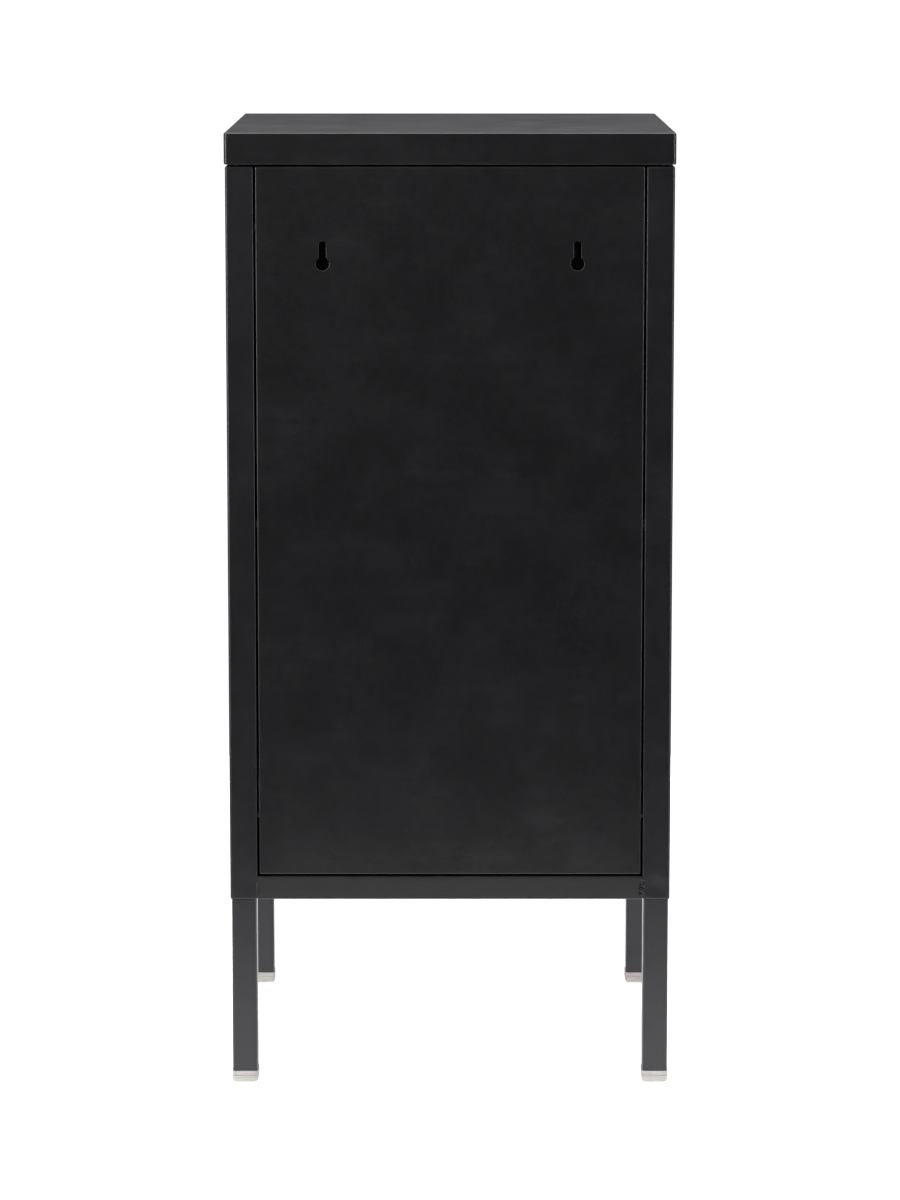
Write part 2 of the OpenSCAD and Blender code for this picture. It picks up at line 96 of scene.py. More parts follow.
def rounded_path(corners, steps=7):
    """An open path through (x, y, radius) corners, with an arc of that radius at each inner corner."""
    points = [Vector(corners[0][:2])]
    for before, here, after in zip(corners, corners[1:], corners[2:]):
        p, radius = Vector(here[:2]), here[2]
        to_before = (Vector(before[:2]) - p).normalized()
        to_after = (Vector(after[:2]) - p).normalized()
        half = to_before.angle(to_after) / 2
        reach = radius / tan(half)
        middle = (to_before + to_after).normalized()
        centre = p + middle * radius / sin(half)
        points += arc_points(centre, p + to_before * reach, p + to_after * reach, steps)
    points.append(Vector(corners[-1][:2]))
    return points


def rectangle(w, h, radius, steps=6):
    """Points round a w by h rectangle with rounded corners, about the middle."""
    points = []
    for i, (sx, sy) in enumerate(((1, 1), (-1, 1), (-1, -1), (1, -1))):
        cx, cy = sx * (w / 2 - radius), sy * (h / 2 - radius)
        for k in range(steps + 1):
            t = pi / 2 * (i + k / steps)
            points.append(Vector((cx + radius * cos(t), cy + radius * sin(t))))
    return points


def skin(bm, loops, cap_start=False, cap_end=False, closed=False):
    """Faces between loops of equal length, one after the other."""
    rows = [[bm.verts.new(p) for p in loop] for loop in loops]
    pairs = list(zip(rows, rows[1:])) + ([(rows[-1], rows[0])] if closed else [])
    for a, b in pairs:
        for i in range(len(a)):
            j = (i + 1) % len(a)
            bm.faces.new((a[i], a[j], b[j], b[i]))
    if cap_start:
        bm.faces.new(list(reversed(rows[0])))
    if cap_end:
        bm.faces.new(rows[-1])


def section_loops(path, w, h, corner, place):
    """Rounded rectangles for a path of (inset, depth) points. place takes them to the chest's axes."""
    least = 0.12 * MM
    loops = []
    for inset, depth in path:
        radius = max(corner - inset, least)
        outline = rectangle(w - 2 * inset, h - 2 * inset, radius)
        loops.append([place @ Vector((p.x, p.y, depth)) for p in outline])
    return loops


def finish_mesh(name, bm, body, material, replaces=(), angle=SMOOTH_BELOW_DEG):
    """An object from the mesh, shaded smooth but for sharp edges, riding on the body."""
    bmesh.ops.recalc_face_normals(bm, faces=bm.faces)
    mesh = bpy.data.meshes.new(name)
    bm.to_mesh(mesh)
    bm.free()
    for face in mesh.polygons:
        face.use_smooth = True
    mesh.set_sharp_from_angle(angle=radians(angle))
    obj = bpy.data.objects.new(name, mesh)
    bpy.context.scene.collection.objects.link(obj)
    mesh.materials.append(material)
    weighted = obj.modifiers.new("face_weighted", "WEIGHTED_NORMAL")
    weighted.keep_sharp = True
    weighted.weight = 100
    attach(obj, body)
    if replaces:
        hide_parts(*replaces)
    return obj


# ---------- placing ----------

def facing(centre, direction):
    """Takes a tray's own axes (closed face up) to a closed face that looks along direction."""
    turns = {
        "+Z": Matrix.Identity(4),
        "-Z": Matrix.Rotation(pi, 4, "X"),
        "+Y": Matrix.Rotation(-pi / 2, 4, "X"),
        "-Y": Matrix.Rotation(pi / 2, 4, "X"),
    }
    return Matrix.Translation(centre) @ turns[direction]


def tray_place(node, direction):
    """Matrix, width, height and depth of the folded tray that the CAD node holds."""
    lo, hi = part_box(node)
    mid, size = (lo + hi) / 2, hi - lo
    if direction[1] == "Z":
        foot = Vector((mid.x, mid.y, lo.z if direction[0] == "+" else hi.z))
        return facing(foot, direction), size.x, size.y, size.z
    foot = Vector((mid.x, lo.y if direction[0] == "+" else hi.y, mid.z))
    return facing(foot, direction), size.x, size.z, size.y


def tray_path(depth, rim=0.0, hem=0.0):
    """Half a tray's section, from the middle of the outer face to the middle of the inner one.
    rim is the width of a return folded in at the foot, hem the height of an edge folded back on itself."""
    far = 9 * MM
    path = [(far, depth, 0), (0, depth, FOLD)]
    if rim:
        path += [(0, 0, FOLD), (rim, 0, CUT_EDGE), (rim, SHEET, CUT_EDGE), (SHEET, SHEET, INNER_FOLD)]
    elif hem:
        path += [(0, 0, SHARP_FOLD), (2 * SHEET, 0, SHARP_FOLD), (2 * SHEET, hem, CUT_EDGE)]
        path += [(SHEET + 0.05 * MM, hem, 0.05 * MM)]
    else:
        path += [(0, 0, CUT_EDGE), (SHEET, 0, CUT_EDGE)]
    path += [(SHEET, depth - SHEET, INNER_FOLD), (far, depth - SHEET, 0)]
    return rounded_path(path)


def tray(bm, place, w, h, depth, corner, rim=0.0, hem=0.0):
    """A folded tray; rim or hem as in tray_path."""
    loops = section_loops(tray_path(depth, rim, hem), w, h, corner, place)
    skin(bm, loops, cap_start=True, cap_end=True)


# ---------- shader building ----------

class Surface:
    """One Principled material and short names for the nodes that feed it."""

    def __init__(self, name, **constants):
        self.material = bpy.data.materials.new(name)
        self.material.use_nodes = True
        self.tree = self.material.node_tree
        self.shader = self.tree.nodes["Principled BSDF"]
        for key, value in constants.items():
            self.shader.inputs[key.replace("_", " ")].default_value = value
        self.place = self.tree.nodes.new("ShaderNodeTexCoord").outputs["Object"]

    def link(self, source, target):
        self.tree.links.new(source, target)

    def stretched(self, x, y, z):
        """The object's coordinates, scaled apart on each axis."""
        node = self.tree.nodes.new("ShaderNodeMapping")
        node.inputs["Scale"].default_value = (x, y, z)
        self.link(self.place, node.inputs["Vector"])
        return node.outputs["Vector"]

    def noise(self, size, detail=3.0, roughness=0.5, place=None, distortion=0.0):
        """Noise whose features are about size metres across."""
        node = self.tree.nodes.new("ShaderNodeTexNoise")
        node.inputs["Scale"].default_value = 1.0 / size
        node.inputs["Detail"].default_value = detail
        node.inputs["Roughness"].default_value = roughness
        node.inputs["Distortion"].default_value = distortion
        self.link(place or self.place, node.inputs["Vector"])
        return node.outputs["Fac"]

    def cells(self, size):
        """Distance to the nearest of scattered points about size metres apart."""
        node = self.tree.nodes.new("ShaderNodeTexVoronoi")
        node.inputs["Scale"].default_value = 1.0 / size
        self.link(self.place, node.inputs["Vector"])
        return node.outputs["Distance"]

    def fit(self, value, low, high, to_low, to_high, smooth=False):
        """value from low..high taken to to_low..to_high, held at the ends."""
        node = self.tree.nodes.new("ShaderNodeMapRange")
        node.interpolation_type = "SMOOTHSTEP" if smooth else "LINEAR"
        numbers = (low, high, to_low, to_high)
        for key, number in zip(("From Min", "From Max", "To Min", "To Max"), numbers):
            node.inputs[key].default_value = number
        self.link(value, node.inputs["Value"])
        return node.outputs["Result"]

    def combine(self, operation, a, b):
        """A sum, product or other operation on two values, each a socket or a number."""
        node = self.tree.nodes.new("ShaderNodeMath")
        node.operation = operation
        for socket, value in zip(node.inputs, (a, b)):
            if isinstance(value, (int, float)):
                socket.default_value = value
            else:
                self.link(value, socket)
        return node.outputs["Value"]

    def mix(self, fac, a, b):
        """Colour a turning into b; each a socket or three numbers."""
        node = self.tree.nodes.new("ShaderNodeMix")
        node.data_type = "RGBA"
        if isinstance(fac, (int, float)):
            node.inputs[0].default_value = fac
        else:
            self.link(fac, node.inputs[0])
        for socket, value in zip((node.inputs[6], node.inputs[7]), (a, b)):
            if isinstance(value, tuple):
                socket.default_value = (*value, 1.0)
            else:
                self.link(value, socket)
        return node.outputs[2]

    def hollow(self, centre, radius):
        """0 at centre, rising smoothly to 1 at radius and beyond."""
        node = self.tree.nodes.new("ShaderNodeVectorMath")
        node.operation = "DISTANCE"
        self.link(self.place, node.inputs[0])
        node.inputs[1].default_value = centre
        return self.fit(node.outputs["Value"], 0.0, radius, 0.0, 1.0, smooth=True)

    def upward(self):
        """How far the surface faces up, from 0 to 1."""
        geometry = self.tree.nodes.new("ShaderNodeNewGeometry")
        split = self.tree.nodes.new("ShaderNodeSeparateXYZ")
        self.link(geometry.outputs["Normal"], split.inputs["Vector"])
        return self.fit(split.outputs["Z"], 0.3, 0.95, 0.0, 1.0)

    def bump(self, height, distance, under=None):
        """A normal from a height field; distance is its depth in metres."""
        node = self.tree.nodes.new("ShaderNodeBump")
        node.inputs["Distance"].default_value = distance
        node.inputs["Strength"].default_value = 1.0
        self.link(height, node.inputs["Height"])
        if under is not None:
            self.link(under, node.inputs["Normal"])
        return node.outputs["Normal"]

    def finish(self, colour, roughness, normal):
        """The material, with these three fed to its shader."""
        self.link(colour, self.shader.inputs["Base Color"])
        self.link(roughness, self.shader.inputs["Roughness"])
        self.link(normal, self.shader.inputs["Normal"])
        return self.material


def powder_coat(name, tone, dents=()):
    """Satin black powder coat: fine orange peel, slightly wavy sheet, faint wipe marks and dust on top.
    tone scales the pigment; a tone above 1 makes a lighter copy of the black, painted light. dents are
    (centre, radius, depth) of hollows that welding has drawn."""
    s = Surface(name, Metallic=0.0, IOR=1.5)
    peel = s.noise(1.3 * MM, detail=2.0)
    grain = s.noise(0.4 * MM, detail=1.0)
    dapple = s.noise(7 * MM, detail=3.0, roughness=0.6)
    waves = s.noise(0.16, detail=1.0)
    normal = s.bump(waves, 0.8 * MM)
    for centre, radius, depth in dents:
        normal = s.bump(s.hollow(centre, radius), depth, under=normal)
    normal = s.bump(dapple, 0.10 * MM, under=normal)
    normal = s.bump(peel, 0.075 * MM, under=normal)
    normal = s.bump(grain, 0.015 * MM, under=normal)
    clouds = s.noise(0.07, detail=6.0, roughness=0.65)
    wipes = s.noise(0.02, detail=4.0, place=s.stretched(0.22, 1.0, 1.6), distortion=0.6)
    marks = s.combine("MULTIPLY", s.fit(clouds, 0.45, 0.72, 0.0, 1.0), s.fit(wipes, 0.4, 0.7, 0.0, 1.0))
    rough = s.combine("ADD", s.fit(clouds, 0.3, 0.7, 0.35, 0.385), s.combine("MULTIPLY", marks, 0.035))
    rough = s.combine("ADD", rough, s.fit(dapple, 0.3, 0.7, -0.02, 0.02))
    pale, deep = 0.0050 * tone, 0.0032 * tone
    pigment = s.mix(s.fit(peel, 0.35, 0.65, 0.0, 1.0), (deep, deep, deep * 1.25), (pale, pale, pale * 1.25))
    tinted = s.mix(s.fit(clouds, 0.4, 0.65, 0.0, 1.0), pigment, (pale * 1.15, pale * 0.98, pale * 1.25))
    marked = s.mix(s.combine("MULTIPLY", marks, 0.16), tinted, (0.022, 0.0225, 0.0235))
    specks = s.fit(s.cells(9 * MM), 0.018, 0.028, 1.0, 0.0, smooth=True)
    lint = s.combine("MULTIPLY", specks, s.fit(s.noise(0.05), 0.5, 0.6, 0.0, 0.5))
    film = s.fit(s.noise(0.035, detail=6.0, roughness=0.65), 0.35, 0.75, 0.05, 0.22)
    dust = s.combine("MULTIPLY", s.combine("MAXIMUM", lint, film), s.upward())
    colour = s.mix(dust, marked, (0.125, 0.122, 0.128))
    return s.finish(colour, rough, normal)


def handle_coat():
    """The same black, laid smoother on the round bar, a little polished by hands in the middle."""
    s = Surface("black_handle", Metallic=0.0, IOR=1.5)
    peel = s.noise(0.8 * MM, detail=2.0)
    normal = s.bump(peel, 0.02 * MM)
    wear = s.noise(0.012, detail=4.0, place=s.stretched(0.4, 1.0, 1.0))
    colour = s.mix(s.fit(wear, 0.4, 0.7, 0.0, 1.0), (0.0100, 0.0100, 0.0108), (0.0165, 0.0165, 0.0170))
    return s.finish(colour, s.fit(wear, 0.3, 0.7, 0.29, 0.40), normal)


def zinc_plate(name, tone):
    """Zinc: drawn lines along the slides, pale bloom and a faint yellow cast. tone darkens it."""
    s = Surface(name, Metallic=1.0)
    lines = s.noise(0.6 * MM, detail=3.0, place=s.stretched(1.0, 0.02, 1.0))
    bloom = s.noise(0.014, detail=5.0, roughness=0.6)
    normal = s.bump(lines, 0.012 * MM)
    clear, dull, yellow = (
        tuple(tone * part for part in colour)
        for colour in ((0.60, 0.61, 0.64), (0.47, 0.48, 0.49), (0.60, 0.57, 0.48))
    )
    bright = s.mix(s.fit(bloom, 0.35, 0.7, 0.0, 1.0), clear, dull)
    cast = s.mix(s.fit(s.noise(0.05), 0.45, 0.65, 0.0, 0.35), bright, yellow)
    rough = s.combine("ADD", s.fit(bloom, 0.3, 0.7, 0.24, 0.38), s.fit(lines, 0.3, 0.7, 0.0, 0.08))
    return s.finish(cast, rough, normal)


def greased_steel():
    """Bright steel under a thin, uneven film of grease."""
    s = Surface("bearing_steel", Metallic=1.0)
    film = s.noise(0.006, detail=4.0)
    normal = s.bump(s.noise(1.5 * MM), 0.02 * MM)
    colour = s.mix(s.fit(film, 0.4, 0.65, 0.0, 1.0), (0.66, 0.67, 0.69), (0.50, 0.47, 0.40))
    return s.finish(colour, s.fit(film, 0.35, 0.7, 0.16, 0.34), normal)


def glide_plastic():
    """Milky white moulded plastic, a little waxy, with scuffs low down."""
    s = Surface("white_plastic", IOR=1.5, Subsurface_Weight=0.25, Subsurface_Scale=0.004)
    clouds = s.noise(0.010, detail=4.0)
    scuffs = s.noise(0.002, detail=5.0, place=s.stretched(0.3, 0.3, 1.5))
    split = s.tree.nodes.new("ShaderNodeSeparateXYZ")
    s.link(s.place, split.inputs["Vector"])
    low = s.fit(split.outputs["Z"], 0.0005, 0.006, 1.0, 0.0, smooth=True)
    grime = s.combine("MULTIPLY", low, s.fit(scuffs, 0.42, 0.62, 0.1, 0.8))
    clean = s.mix(s.fit(clouds, 0.35, 0.65, 0.0, 1.0), (0.43, 0.42, 0.40), (0.38, 0.365, 0.345))
    colour = s.mix(grime, clean, (0.42, 0.40, 0.36))
    normal = s.bump(s.noise(1.2 * MM, detail=3.0), 0.03 * MM)
    return s.finish(colour, s.fit(clouds, 0.3, 0.7, 0.38, 0.5), normal)


coat = powder_coat("black_powder_coat", tone=0.85)
# painted light: the legs get a copy of the black at 2.8 times the pigment, lighter to stand for the glow the
# floor throws on them
leg_coat_painted_lighter = powder_coat("black_powder_coat_legs_painted_lighter", tone=2.8)
# painted light: the side panels and their posts get a copy of the black at 1.3 times the pigment, lighter as
# if side light fell on them. Welding has drawn the rear posts in: a dent above each leg, and a faint one
# higher up at -X
post_coat_painted_lighter = powder_coat("black_powder_coat_posts_painted_lighter", tone=1.3, dents=[
    ((-0.207, 0.2125, 0.202), 15 * MM, 0.55 * MM),
    ((0.205, 0.2125, 0.207), 17 * MM, 0.20 * MM),
    ((-0.199, 0.2125, 0.238), 20 * MM, 0.15 * MM),
])
bar_coat = handle_coat()
zinc = zinc_plate("zinc_plated_steel", tone=1.0)
black_zinc = zinc_plate("zinc_plated_black", tone=0.06)
bearing = greased_steel()
plastic = glide_plastic()
MATERIALS = {
    "black_powder_coat": coat,
    "black_handle": bar_coat,
    "zinc_plated_steel": zinc,
    "bearing_steel": bearing,
    "white_plastic": plastic,
}
# the side panels take the lighter copy of the black, painted light
OWN_MATERIALS = {"side_panel_left": post_coat_painted_lighter, "side_panel_right": post_coat_painted_lighter, "lid_nuts": black_zinc}


# ---------- CAD nodes that stay ----------

def smoothing_group():
    """Geometry nodes that join split vertices and shade smooth but for the sharper edges."""
    group = bpy.data.node_groups.new("smooth_folds", "GeometryNodeTree")
    group.interface.new_socket("Geometry", in_out="INPUT", socket_type="NodeSocketGeometry")
    group.interface.new_socket("Geometry", in_out="OUTPUT", socket_type="NodeSocketGeometry")
    new, link = group.nodes.new, group.links.new
    entry, leave = new("NodeGroupInput"), new("NodeGroupOutput")
    merge = new("GeometryNodeMergeByDistance")
    merge.inputs["Distance"].default_value = 0.001 * MM
    faces = new("GeometryNodeSetShadeSmooth")
    edges = new("GeometryNodeSetShadeSmooth")
    edges.domain = "EDGE"
    edges.inputs["Shade Smooth"].default_value = False
    angle = new("GeometryNodeInputMeshEdgeAngle")
    over = new("FunctionNodeCompare")
    over.operation = "GREATER_THAN"
    over.inputs["B"].default_value = radians(SMOOTH_BELOW_DEG)
    link(entry.outputs[0], merge.inputs["Geometry"])
    link(merge.outputs["Geometry"], faces.inputs["Geometry"])
    link(faces.outputs["Geometry"], edges.inputs["Geometry"])
    link(angle.outputs["Unsigned Angle"], over.inputs["A"])
    link(over.outputs["Result"], edges.inputs["Selection"])
    link(edges.outputs["Geometry"], leave.inputs[0])
    return group


def dress_cad_nodes():
    """Materials for every CAD node, shown or not, and smooth shading for the shown ones."""
    group = smoothing_group()
    slot_of = {part["node"]: part["material_slot"] for part in frame["record"]["subparts"]}
    for name, obj in frame["nodes"].items():
        obj.data.materials.clear()
        obj.data.materials.append(OWN_MATERIALS.get(name, MATERIALS[slot_of[name]]))
        if obj.hide_render:
            continue
        smooth = obj.modifiers.new("smooth_folds", "NODES")
        smooth.node_group = group
        weighted = obj.modifiers.new("face_weighted", "WEIGHTED_NORMAL")
        weighted.keep_sharp = True


# ---------- panels ----------

def make_lid():
    """A tray upside down, whose edges turn in under it."""
    bm = bmesh.new()
    place, w, h, depth = tray_place("lid", "+Z")
    tray(bm, place, w, h, depth, corner=4 * MM, rim=26 * MM)
    return finish_mesh("lid_sheet", bm, "carcass", coat, ["lid"])


def make_bottom():
    """A tray upside down between the posts; its rear edge is the rail under the back panel."""
    bm = bmesh.new()
    place, w, h, depth = tray_place("bottom_panel", "+Z")
    tray(bm, place, w, h, depth, corner=FOLD, rim=15 * MM)
    lean(bm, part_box("bottom_panel"), 1.3 * MM)
    return finish_mesh("bottom_sheet", bm, "carcass", coat, ["bottom_panel"])


def lean(bm, box, amount):
    """Draws the front and rear faces in towards their foot, as a folded edge springs."""
    lo, hi = box
    for v in bm.verts:
        share = (hi.z - v.co.z) / (hi.z - lo.z)
        v.co.y -= amount * share * (1 if v.co.y > 0 else -1)


def keyhole_outline(head_r, slot_r, rise, grow, steps=40):
    """Points round a keyhole that is grow larger all round: head circle below, slot above."""
    r, s = head_r + grow, slot_r + grow
    mouth = asin(s / r)
    points = []
    for i in range(steps + 1):
        t = pi / 2 - mouth - (2 * pi - 2 * mouth) * i / steps
        points.append(Vector((r * cos(t), r * sin(t))))
    half = steps // 2
    for i in range(half + 1):
        t = pi - pi * i / half
        points.append(Vector((s * cos(t), rise + s * sin(t))))
    return points


def keyhole_cutter(bm, x, head_z, rear):
    """A cutter whose flared ends leave the keyhole's edges softly rounded on both faces."""
    edge, inner_edge, clear = 0.82 * MM, 0.15 * MM, 0.6 * MM
    steps, inner_steps = 6, 2
    path = [(edge + clear, clear)]
    for i in range(steps + 1):
        t = pi / 2 * i / steps
        path.append((edge * (1 - sin(t)), -edge * (1 - cos(t))))
    for i in range(inner_steps + 1):
        t = pi / 2 * i / inner_steps
        path.append((inner_edge * (1 - cos(t)), -SHEET + inner_edge * (1 - sin(t))))
    path.append((inner_edge + clear, -SHEET - clear))
    loops = []
    for grow, depth in path:
        outline = keyhole_outline(KEYHOLE_HEAD_RADIUS, KEYHOLE_SLOT_RADIUS, KEYHOLE_RISE, grow)
        loops.append([Vector((x + p.x, rear + depth, head_z + p.y)) for p in outline])
    skin(bm, loops, cap_start=True, cap_end=True)


def cut(bm, cutter_bm):
    """The first mesh with the second one's volume taken out."""
    objects = []
    for name, source in (("body_of_cut", bm), ("cutter", cutter_bm)):
        bmesh.ops.recalc_face_normals(source, faces=source.faces)
        mesh = bpy.data.meshes.new(name)
        source.to_mesh(mesh)
        source.free()
        objects.append(bpy.data.objects.new(name, mesh))
        bpy.context.scene.collection.objects.link(objects[-1])
    whole, cutter = objects
    modifier = whole.modifiers.new("cut", "BOOLEAN")
    modifier.operation = "DIFFERENCE"
    modifier.solver = "EXACT"
    modifier.object = cutter
    bpy.context.view_layer.update()
    evaluated = whole.evaluated_get(bpy.context.evaluated_depsgraph_get())
    result = bmesh.new()
    result.from_mesh(evaluated.to_mesh())
    evaluated.to_mesh_clear()
    for obj in objects:
        mesh = obj.data
        bpy.data.objects.remove(obj)
        bpy.data.meshes.remove(mesh)
    return result


def boss(bm, tip, side, height):
    """A round boss along X that ends at tip, with a soft foot."""
    r, foot, soft, around = BOSS_RADIUS, 0.8 * MM, 0.2 * MM, 24
    corners = [(r + foot, -soft, 0), (r, soft, foot / 2), (r, height, soft), (r / 2, height, 0)]
    angles = [2 * pi * k / around for k in range(around)]
    loops = []
    for radius, rise in rounded_path(corners, steps=3):
        x = tip.x - side * (height - rise)
        loops.append([Vector((x, tip.y + radius * cos(a), tip.z + radius * sin(a))) for a in angles])
    skin(bm, loops, cap_start=True, cap_end=True)


def make_back():
    """The tray with its two keyholes, held off the posts by three bosses on each side."""
    sheet_bm, cutter_bm = bmesh.new(), bmesh.new()
    lo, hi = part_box("back_panel")
    place, w, h, depth = tray_place("back_panel", "+Y")
    tray(sheet_bm, place, w - 2 * SIDE_GAP, h, depth, corner=FOLD)
    mount = next(m for m in frame["record"]["mounts"] if m["name"] == "wall_keyholes")
    half_span = mount["dims"]["spacing_x_mm"] * MM / 2
    for x in (-half_span, half_span):
        keyhole_cutter(cutter_bm, x, mount["pos_m"][2], hi.y)
    bm = cut(sheet_bm, cutter_bm)
    sliver = 0.02 * MM
    bmesh.ops.remove_doubles(bm, verts=bm.verts, dist=sliver)
    bmesh.ops.dissolve_degenerate(bm, edges=bm.edges, dist=sliver)
    for z in (lo.z + BOSS_FROM_ENDS, (lo.z + hi.z) / 2, hi.z - BOSS_FROM_ENDS):
        for side, edge_x in ((-1, lo.x), (1, hi.x)):
            boss(bm, Vector((edge_x, hi.y - BOSS_FROM_REAR, z)), side, SIDE_GAP)
    return finish_mesh("back_sheet", bm, "carcass", coat, ["back_panel"])


# ---------- legs, glides and welds ----------

def make_leg(corner):
    """A square tube, open at both ends."""
    node = "leg_" + corner
    lo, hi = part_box(node)
    mid, size = (lo + hi) / 2, hi - lo
    wall, soft = TUBE_WALL, 0.35 * MM
    path = rounded_path([(0, size.z / 2, 0), (0, 0, soft), (wall, 0, soft), (wall, size.z / 2, 0)])
    path = [Vector((0, size.z))] + path[1:-1] + [Vector((wall, size.z))]
    bm = bmesh.new()
    place = Matrix.Translation((mid.x, mid.y, lo.z))
    skin(bm, section_loops(path, size.x, size.y, 2.5 * MM, place), closed=True)
    # the tube wears the lighter copy of the black, painted light
    return finish_mesh("tube_" + corner, bm, "carcass", leg_coat_painted_lighter, [node])


def make_glide(corner):
    """Pad with a shallow recess underneath, a fine groove, a collar and the hollow plug in the tube."""
    node = "foot_" + corner
    lo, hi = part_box(node)
    mid, size = (lo + hi) / 2, hi - lo
    pad, groove, collar = 7.2 * MM, 0.6 * MM, 12 * MM
    recess_in, recess_wall, recess = 6.4 * MM, 0.6 * MM, 0.8 * MM
    groove_in, plug_in, plug_wall = 0.5 * MM, 2.3 * MM, 1.8 * MM
    middle_in, foot_round, soft, crisp = 10 * MM, 4.2 * MM, 0.3 * MM, 0.1 * MM
    bore_in, bore_floor = plug_in + plug_wall, collar + 0.5 * MM
    corners = [
        (middle_in, recess, 0), (recess_in + recess_wall, recess, soft), (recess_in, 0, soft),
        (0, 0, foot_round), (0, pad, soft), (groove_in, pad, crisp), (groove_in, pad + groove, crisp),
        (0, pad + groove, soft), (0, collar, 0.4 * MM), (plug_in, collar, crisp),
        (plug_in, size.z, 0.5 * MM), (bore_in, size.z, soft), (bore_in, bore_floor, 0.5 * MM),
        (middle_in, bore_floor, 0),
    ]
    bm = bmesh.new()
    place = Matrix.Translation((mid.x, mid.y, lo.z))
    loops = section_loops(rounded_path(corners, steps=5), size.x, size.y, 3.5 * MM, place)
    skin(bm, loops, cap_start=True, cap_end=True)
    return finish_mesh("glide_" + corner, bm, "carcass", plastic, [node])


def wobble(t, seed):
    """A smooth, uneven number from -1 to 1 that belongs to t and seed."""
    return (sin(t * 2.3 + seed * 1.7) + sin(t * 5.1 + seed * 4.1) + sin(t * 11.7 + seed * 2.9)) / 3


def weld_bead(bm, points, out, radius, rough, seed):
    """A low, rippled bead along points that stands out along the direction out.
    rough, from 0 to 1, crinkles it."""
    along = (points[-1] - points[0]).normalized()
    across = along.cross(out).normalized()
    loops = []
    highest, sunk, around = 1.2 * MM, 0.2 * MM, 8
    for i, p in enumerate(points):
        t = i / (len(points) - 1)
        end = min(1.0, 6 * t + 0.25, 6 * (1 - t) + 0.25)
        wide = radius * end * (1 + 0.30 * wobble(i * 0.9, seed)) * (1 - 0.2 * rough)
        crinkle = 1 + 0.45 * wobble(i * 1.7, seed + 3) + 1.3 * rough * wobble(i * 0.33, seed + 11)
        tall = min(highest, 0.50 * radius * end * max(0.1, crinkle))
        shift = 0.35 * wobble(i * 0.35, seed + 7) + 0.9 * rough * wobble(i * 0.2, seed + 4)
        centre = p + across * radius * shift
        loop = []
        for k in range(around + 1):
            a = pi * k / around
            loop.append(centre + across * wide * cos(a) + out * tall * sin(a))
        loop += [centre - across * wide - out * sunk, centre + across * wide - out * sunk]
        loops.append(loop)
    skin(bm, loops, cap_start=True, cap_end=True)


def spatter(bm, centre, spread, out, count, seed):
    """Small drops stuck to the sheet round a weld."""
    across = Vector((1, 0, 0))
    for i in range(count):
        u = spread.x * wobble(i * 3.1, seed)
        v = spread.y * wobble(i * 4.7, seed + 5)
        r = (0.40 + 0.22 * wobble(i * 2.0, seed + 2)) * MM
        drop = centre + across * u + Vector((0, 0, v)) - out * 0.15 * r
        bmesh.ops.create_icosphere(bm, subdivisions=2, radius=r, matrix=Matrix.Translation(drop))


def make_welds():
    """Beads where the bottom panel's ends meet the posts, front and rear; one is rough and has spattered."""
    lo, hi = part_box("bottom_panel")
    bm = bmesh.new()
    steps, end, depth = 44, 1.6 * MM, 0.25 * MM
    for n, (x, y) in enumerate(((lo.x, hi.y), (hi.x, hi.y), (lo.x, lo.y), (hi.x, lo.y))):
        out = Vector((0, 1 if y > 0 else -1, 0))
        rise = hi.z - lo.z - 2 * end
        sunk = y - out.y * depth
        points = [Vector((x, sunk, lo.z + end + rise * i / steps)) for i in range(steps + 1)]
        radius, rough = (1.2 * MM, 0.0) if n else (2.6 * MM, 1.0)
        weld_bead(bm, points, out, radius, rough, seed=n * 5 + 1)
    rough_end = Vector((lo.x + 0.5 * MM, hi.y, (lo.z + hi.z) / 2))
    spatter(bm, rough_end, Vector((4 * MM, 15 * MM)), Vector((0, 1, 0)), count=14, seed=2)
    return finish_mesh("corner_welds", bm, "carcass", coat, angle=70)


# ---------- drawers ----------

def make_front(n):
    """The drawer's front, a tray whose edges turn in at the back."""
    node = f"drawer_{n}_front"
    bm = bmesh.new()
    place, w, h, depth = tray_place(node, "-Y")
    tray(bm, place, w, h, depth, corner=FOLD, rim=12 * MM)
    return finish_mesh(f"front_sheet_{n}", bm, f"drawer_{n}", coat, [node])


def make_box(n):
    """The drawer's box, a tray with hemmed rims."""
    node = f"drawer_{n}_box"
    bm = bmesh.new()
    place, w, h, depth = tray_place(node, "-Z")
    tray(bm, place, w, h, depth, corner=FOLD, hem=8 * MM)
    return finish_mesh(f"box_sheet_{n}", bm, f"drawer_{n}", coat, [node])


def handle_line(half, reach, bend, steps=12):
    """The middle of the bar from one end to the other, as (x, distance from the front) points."""
    left = arc_points(Vector((-half + bend, reach - bend)), Vector((-half, reach - bend)),
                      Vector((-half + bend, reach)), steps)
    right = [Vector((-p.x, p.y)) for p in reversed(left)]
    return left + right


